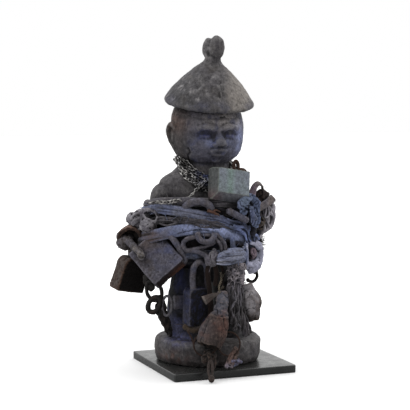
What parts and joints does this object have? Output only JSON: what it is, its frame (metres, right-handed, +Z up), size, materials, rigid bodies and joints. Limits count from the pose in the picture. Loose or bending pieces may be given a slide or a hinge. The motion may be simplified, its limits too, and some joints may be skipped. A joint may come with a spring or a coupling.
{
  "type": "fon power figure",
  "caption": "Carved standing power figure with a conical hat, its body bound in cloth bands and hung with padlocks, chain and packets, on a thin square stand plate.",
  "frame": {"origin": "centre of the underside of the square stand plate", "axes": "+Z up to the hat's knob; the figure faces -Y; +X is the figure's left"},
  "size_m": [0.181, 0.1605, 0.363],
  "materials": {
    "plate": "matte black paint",
    "wood": "dark weathered wood with blue pigment and crusts",
    "blue_cloth": "blue-grey cotton cloth, stiff with age",
    "grey_cloth": "grey stiff cloth and cord",
    "dark_cloth": "dark cloth",
    "brown_cloth": "brown soiled cloth",
    "iron": "worn grey iron",
    "rust": "rusted iron",
    "black_iron": "black corroded iron",
    "brass": "dull green-grey tarnish",
    "leather": "stiff dry leather"
  },
  "bodies": {
    "root": {"stand_plate": "plate", "carved_figure": "wood", "big_padlock_body": "iron", "upper_cloth_band": "blue_cloth", "lower_cloth_band": "blue_cloth", "chest_roll": "grey_cloth", "core_wrap": "dark_cloth", "middle_rope": "grey_cloth", "lower_wrap": "blue_cloth", "chest_padlock_body": "brass", "chest_padlock_shackle": "rust", "neck_chain": "iron", "top_shackle": "iron", "rust_clasp": "rust", "iron_peg": "iron", "big_padlock_shackle": "iron", "left_padlock_body": "rust", "left_padlock_shackle": "iron", "rust_bracket": "rust", "grey_cloth_knot": "grey_cloth", "centre_link": "iron", "round_link": "iron", "curved_clasp": "iron", "cloth_tie": "blue_cloth", "tied_strip": "grey_cloth", "front_padlock_body": "iron", "front_padlock_shackle": "iron", "black_link_upper": "black_iron", "black_link_lower": "black_iron", "black_chain_tail": "black_iron", "eye_bolt": "iron", "olive_cloth": "brown_cloth", "front_packet": "leather", "packet_flap": "leather", "packet_wire": "brass", "net_tassel": "grey_cloth", "long_tassel": "grey_cloth", "right_packet": "leather", "short_tassel": "grey_cloth", "wire_ring_left": "rust", "wire_ring_right": "rust", "lower_bundle": "brown_cloth", "rolled_scrap_long": "leather", "rolled_scrap_short": "blue_cloth", "tail_pendant": "leather", "blue_knot": "blue_cloth", "strap_loop": "leather", "brown_wad": "brown_cloth", "flat_bar": "grey_cloth", "side_strands": "grey_cloth", "brown_lump": "brown_cloth", "pink_lump": "brown_cloth", "cloth_loop": "blue_cloth", "black_hook": "black_iron", "spiky_fringe": "black_iron", "back_padlock_body": "iron", "back_padlock_shackle": "iron", "back_cloth_tail": "blue_cloth"}
  },
  "joints": []
}
